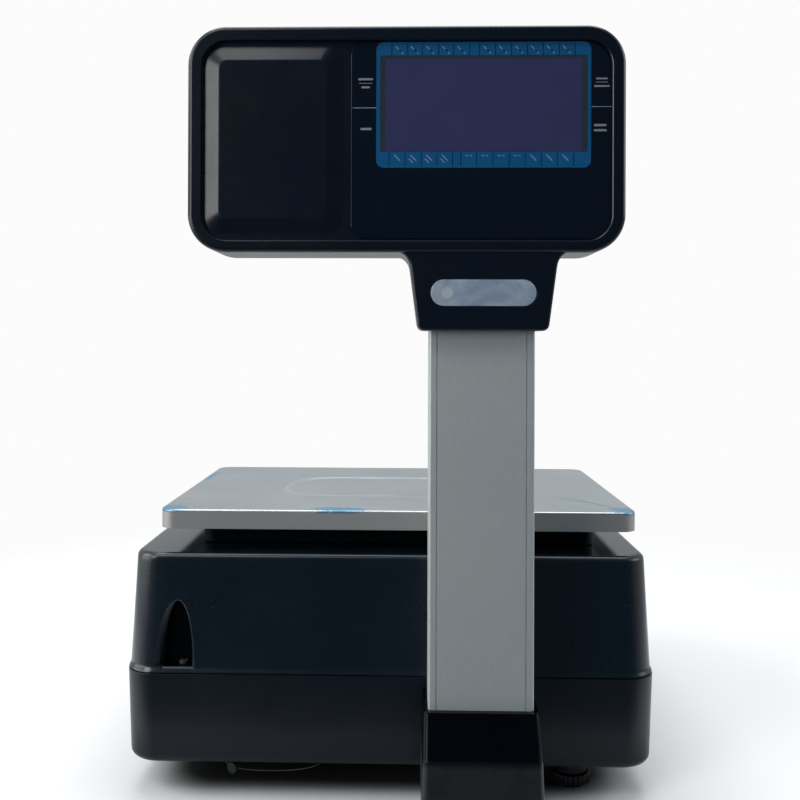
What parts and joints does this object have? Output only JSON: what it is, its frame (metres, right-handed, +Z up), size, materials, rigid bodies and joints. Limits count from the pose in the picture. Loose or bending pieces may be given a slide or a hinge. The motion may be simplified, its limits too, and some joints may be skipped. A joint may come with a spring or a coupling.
{
  "type": "retail price scale",
  "caption": "Retail price-computing scale with a flat steel platter on a wide base, a side-loading label printer, and a two-sided display head on a column.",
  "frame": {"origin": "on the table, at the centre of the footprint", "axes": "+Z up, -Y towards the customer and the column, +Y towards the operator and the keyboard, +X to the right as the customer sees it"},
  "size_m": [0.41, 0.47, 0.5716],
  "materials": {
    "cover_plastic": "dark blue-black moulding, satin gloss",
    "pan_plastic": "dark blue-black moulding, satin",
    "platter_steel": "brushed stainless sheet",
    "column_metal": "grey anodised, satin",
    "zinc_steel": "zinc-plated sheet",
    "cell_aluminium": "milled",
    "screw_steel": "plated",
    "rubber_pad": "matt",
    "window_gloss": "polished panel",
    "lcd_module": "violet-grey display",
    "badge_plate": "silver-grey plate",
    "keypad_film": "membrane keyboard film",
    "board_laminate": "circuit board",
    "label_paper": "plain label stock",
    "core_card": "plain card tube",
    "nylon": "natural nylon",
    "foot_metal": "black-coated metal",
    "lead": "dull grey soft metal",
    "vial": "yellow-green level vial"
  },
  "bodies": {
    "base": {"base_pan": "pan_plastic", "top_cover": "cover_plastic", "keypad_panel": "keypad_film", "bubble_level": "vial", "cover_screw": "screw_steel", "door_pin": "screw_steel", "chassis_plate": "zinc_steel", "load_cell": "cell_aluminium", "cell_post": "zinc_steel", "overload_stop": "screw_steel", "platter_carrier": "pan_plastic", "rest_button_1": "rubber_pad", "rest_button_2": "rubber_pad", "rest_button_3": "rubber_pad", "rest_button_4": "rubber_pad", "pole": "column_metal", "pole_shoe": "cover_plastic", "pole_bracket": "zinc_steel", "head_front": "cover_plastic", "head_rear": "cover_plastic", "customer_window": "window_gloss", "customer_lcd": "lcd_module", "neck_badge": "badge_plate", "display_board": "board_laminate", "operator_window": "window_gloss", "operator_lcd": "lcd_module", "neck_plug": "nylon", "head_screw_1": "screw_steel", "head_screw_2": "screw_steel", "printer_chassis": "zinc_steel", "roll_spindle": "nylon", "feed_motor": "zinc_steel", "label_bezel": "cover_plastic", "power_inlet": "pan_plastic", "switch_housing": "pan_plastic", "port_block": "zinc_steel", "main_board": "board_laminate", "power_supply": "zinc_steel", "seal_wire": "screw_steel", "lead_seal": "lead"},
    "platter": {"platter": "platter_steel"},
    "door": {"side_door": "cover_plastic"},
    "roll": {"label_roll": "label_paper", "roll_core": "core_card"},
    "spool": {"liner_spool": "nylon"},
    "platen": {"platen_shaft": "screw_steel", "platen_roller": "rubber_pad", "platen_gear": "nylon"},
    "pinion": {"motor_pinion": "nylon"},
    "print_arm": {"print_head_arm": "column_metal", "print_head": "window_gloss"},
    "rocker": {"power_rocker": "pan_plastic"},
    "foot_1": {"foot_pad_1": "rubber_pad"},
    "foot_wheel_1": {"foot_wheel_1": "foot_metal"},
    "foot_2": {"foot_pad_2": "rubber_pad"},
    "foot_wheel_2": {"foot_wheel_2": "foot_metal"},
    "foot_3": {"foot_pad_3": "rubber_pad"},
    "foot_wheel_3": {"foot_wheel_3": "foot_metal"},
    "foot_4": {"foot_pad_4": "rubber_pad"},
    "foot_wheel_4": {"foot_wheel_4": "foot_metal"}
  },
  "joints": [
    {"name": "platter_lift", "type": "slide", "parent": "base", "child": "platter", "axis": [0, 0, 1], "range_m": [0, 0.08]},
    {"name": "door_hinge", "type": "hinge", "parent": "base", "child": "door", "pos_m": [-0.2024, 0.046, 0.06], "axis": [0, -1, 0], "range_deg": [0, 95]},
    {"name": "roll_spin", "type": "hinge", "parent": "base", "child": "roll", "pos_m": [-0.155, 0.048, 0.108], "axis": [1, 0, 0], "continuous": true},
    {"name": "spool_spin", "type": "hinge", "parent": "base", "child": "spool", "pos_m": [-0.155, 0.142, 0.062], "axis": [1, 0, 0], "continuous": true},
    {"name": "platen_spin", "type": "hinge", "parent": "base", "child": "platen", "pos_m": [-0.153, 0.196, 0.108], "axis": [1, 0, 0], "continuous": true},
    {"name": "pinion_spin", "type": "hinge", "parent": "base", "child": "pinion", "pos_m": [-0.111, 0.18218, 0.09418], "axis": [1, 0, 0], "continuous": true},
    {"name": "print_arm_hinge", "type": "hinge", "parent": "base", "child": "print_arm", "pos_m": [-0.153, 0.148, 0.124], "axis": [1, 0, 0], "range_deg": [0, 9]},
    {"name": "power_rocker_hinge", "type": "hinge", "parent": "base", "child": "rocker", "pos_m": [0.1986, -0.062, 0.05], "axis": [0, -1, 0], "range_deg": [0, 12]},
    {"name": "foot_1_travel", "type": "slide", "parent": "base", "child": "foot_1", "axis": [0, 0, -1], "range_m": [0, 0.0075]},
    {"name": "foot_1_turn", "type": "hinge", "parent": "foot_1", "child": "foot_wheel_1", "pos_m": [0.144, -0.127, 0.0057], "axis": [0, 0, -1], "range_deg": [0, 2160]},
    {"name": "foot_2_travel", "type": "slide", "parent": "base", "child": "foot_2", "axis": [0, 0, -1], "range_m": [0, 0.0075]},
    {"name": "foot_2_turn", "type": "hinge", "parent": "foot_2", "child": "foot_wheel_2", "pos_m": [-0.144, -0.078, 0.0057], "axis": [0, 0, -1], "range_deg": [0, 2160]},
    {"name": "foot_3_travel", "type": "slide", "parent": "base", "child": "foot_3", "axis": [0, 0, -1], "range_m": [0, 0.0075]},
    {"name": "foot_3_turn", "type": "hinge", "parent": "foot_3", "child": "foot_wheel_3", "pos_m": [0.15, 0.19, 0.0057], "axis": [0, 0, -1], "range_deg": [0, 2160]},
    {"name": "foot_4_travel", "type": "slide", "parent": "base", "child": "foot_4", "axis": [0, 0, -1], "range_m": [0, 0.0075]},
    {"name": "foot_4_turn", "type": "hinge", "parent": "foot_4", "child": "foot_wheel_4", "pos_m": [-0.15, 0.19, 0.0057], "axis": [0, 0, -1], "range_deg": [0, 2160]}
  ],
  "couplings": [
    {"joint": "pinion_spin", "follows": "platen_spin", "ratio": -2},
    {"joint": "foot_1_travel", "follows": "foot_1_turn", "m_per_rad": 0.00019894},
    {"joint": "foot_2_travel", "follows": "foot_2_turn", "m_per_rad": 0.00019894},
    {"joint": "foot_3_travel", "follows": "foot_3_turn", "m_per_rad": 0.00019894},
    {"joint": "foot_4_travel", "follows": "foot_4_turn", "m_per_rad": 0.00019894}
  ]
}
